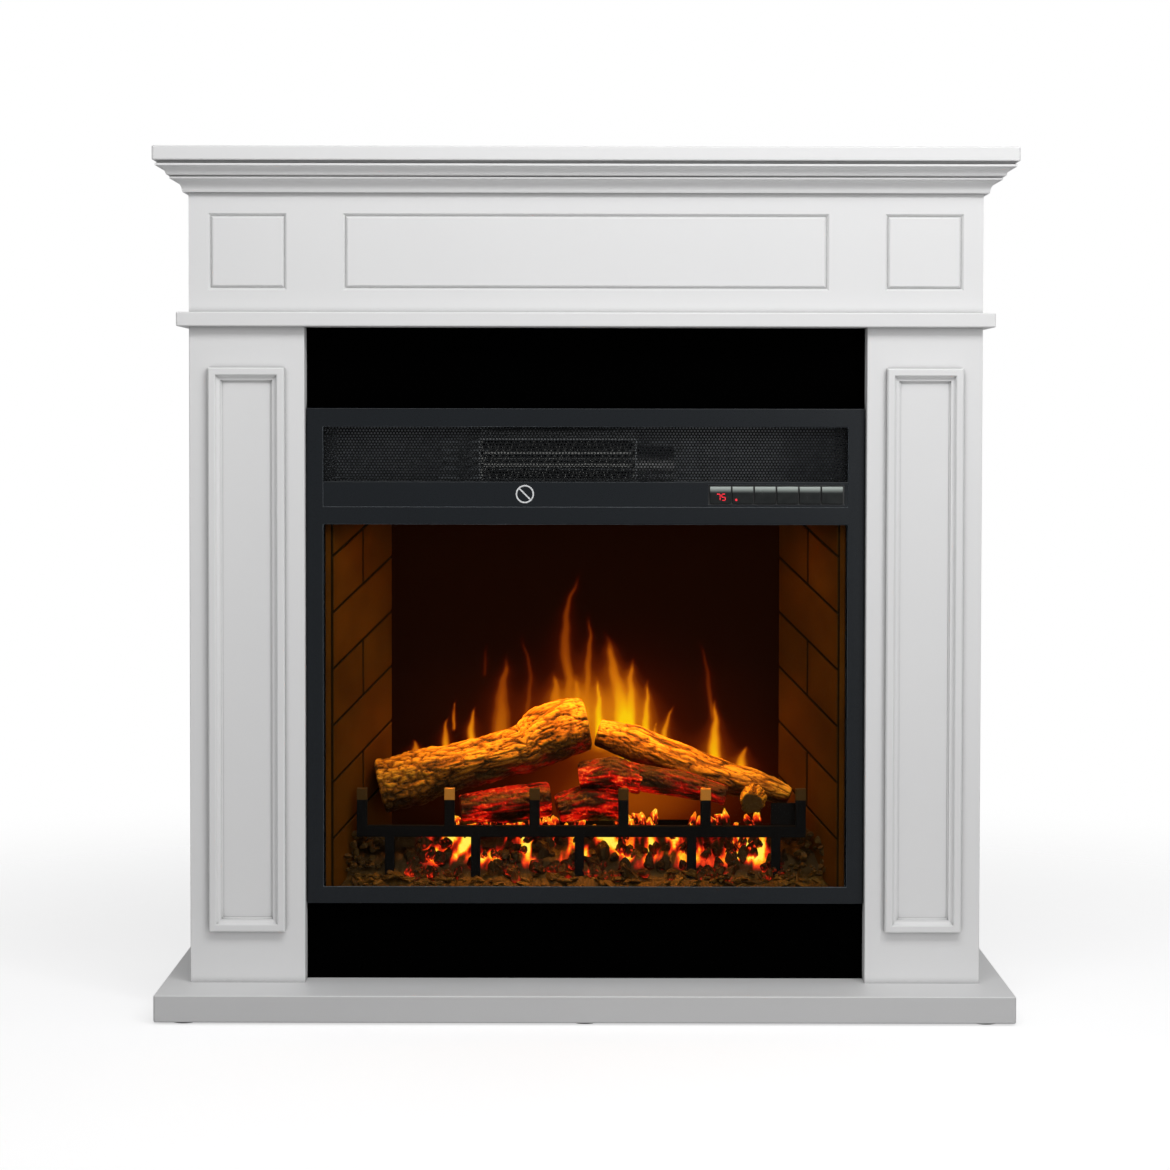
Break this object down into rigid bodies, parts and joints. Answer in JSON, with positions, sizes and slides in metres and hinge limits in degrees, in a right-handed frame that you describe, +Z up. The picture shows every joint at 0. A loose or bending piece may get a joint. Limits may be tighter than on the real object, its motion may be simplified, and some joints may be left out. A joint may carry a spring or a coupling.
{
  "type": "electric fireplace",
  "caption": "Freestanding mantel with moulded shelf and panelled pillars around a glass-fronted electric fire insert with keys, heat outlet, logs and flame screen.",
  "frame": {"origin": "middle of the footprint on the floor", "axes": "front faces -Y, +Z up, +X to the right when facing the fire from the front"},
  "size_m": [0.899, 0.305, 0.907],
  "materials": {
    "white_paint": "satin painted fibreboard",
    "black_board": "matte black board",
    "raw_board": "bare fibreboard",
    "trim_paint": "satin dark slate paint",
    "galvanised": "galvanised sheet",
    "key_plastic": "gloss smoked",
    "black_plastic": "matte",
    "circuit_green": "satin",
    "display_red": "lit red",
    "clear_glass": "polished",
    "brick_panel": "matte moulded",
    "screen_plastic": "frosted, lit from behind",
    "bright_metal": "bright",
    "steel": "zinc plated",
    "lamp_board": "lit amber",
    "ember_resin": "translucent, lit from below",
    "log_resin": "cast bark texture",
    "char_resin": "cast charred texture",
    "black_iron": "matte black"
  },
  "bodies": {
    "fireplace": {"mantel_shelf": "white_paint", "crown_moulding": "white_paint", "frieze_board": "white_paint", "header_sides": "white_paint", "header_ledge": "white_paint", "left_pilaster_face": "white_paint", "right_pilaster_face": "white_paint", "left_pilaster_sides": "white_paint", "right_pilaster_sides": "white_paint", "left_pilaster_moulding": "white_paint", "right_pilaster_moulding": "white_paint", "hearth_base": "white_paint", "upper_infill_panel": "black_board", "lower_infill_panel": "black_board", "insert_platform": "raw_board", "rear_stretcher": "raw_board", "wall_brackets": "steel", "floor_glides": "black_plastic", "mantel_screws": "steel", "trim_frame": "trim_paint", "front_chassis": "trim_paint", "outlet_grille": "trim_paint", "control_fascia": "trim_paint", "key_frame": "black_plastic", "control_board": "circuit_green", "display_module": "display_red", "glass_panel": "clear_glass", "glass_clips": "steel", "case_top": "galvanised", "case_bottom": "galvanised", "case_left": "galvanised", "case_right": "galvanised", "rear_cover": "galvanised", "heater_deck": "galvanised", "case_screws": "steel", "cord_gland": "black_plastic", "left_brick_panel": "brick_panel", "right_brick_panel": "brick_panel", "flame_screen": "screen_plastic", "flame_mask": "galvanised", "flicker_motor": "steel", "spindle_bearings": "galvanised", "lamp_boards": "lamp_board", "ember_bed": "ember_resin", "left_log": "log_resin", "right_log": "log_resin", "ember_logs": "char_resin", "log_grate": "black_iron", "blower_housing": "galvanised", "blower_motor": "steel", "heating_block": "bright_metal"},
    "fan_rotor": {"blower_impeller": "bright_metal"},
    "key_1": {"button_1": "key_plastic"},
    "key_2": {"button_2": "key_plastic"},
    "key_3": {"button_3": "key_plastic"},
    "key_4": {"button_4": "key_plastic"},
    "key_5": {"button_5": "key_plastic"},
    "key_6": {"button_6": "key_plastic"},
    "flicker_rotor": {"flicker_spindle": "bright_metal"}
  },
  "joints": [
    {"name": "key_1_press", "type": "slide", "parent": "fireplace", "child": "key_1", "axis": [0, 1, 0], "range_m": [0, 0.0015], "stiffness_N_per_m": 300, "springref_m": -0.0005},
    {"name": "key_2_press", "type": "slide", "parent": "fireplace", "child": "key_2", "axis": [0, 1, 0], "range_m": [0, 0.0015], "stiffness_N_per_m": 300, "springref_m": -0.0005},
    {"name": "key_3_press", "type": "slide", "parent": "fireplace", "child": "key_3", "axis": [0, 1, 0], "range_m": [0, 0.0015], "stiffness_N_per_m": 300, "springref_m": -0.0005},
    {"name": "key_4_press", "type": "slide", "parent": "fireplace", "child": "key_4", "axis": [0, 1, 0], "range_m": [0, 0.0015], "stiffness_N_per_m": 300, "springref_m": -0.0005},
    {"name": "key_5_press", "type": "slide", "parent": "fireplace", "child": "key_5", "axis": [0, 1, 0], "range_m": [0, 0.0015], "stiffness_N_per_m": 300, "springref_m": -0.0005},
    {"name": "key_6_press", "type": "slide", "parent": "fireplace", "child": "key_6", "axis": [0, 1, 0], "range_m": [0, 0.0015], "stiffness_N_per_m": 300, "springref_m": -0.0005},
    {"name": "fan_spin", "type": "hinge", "parent": "fireplace", "child": "fan_rotor", "pos_m": [-0.0295, 0.038, 0.574], "axis": [1, 0, 0], "continuous": true},
    {"name": "flicker_spin", "type": "hinge", "parent": "fireplace", "child": "flicker_rotor", "pos_m": [0, 0.092, 0.16], "axis": [1, 0, 0], "continuous": true}
  ]
}
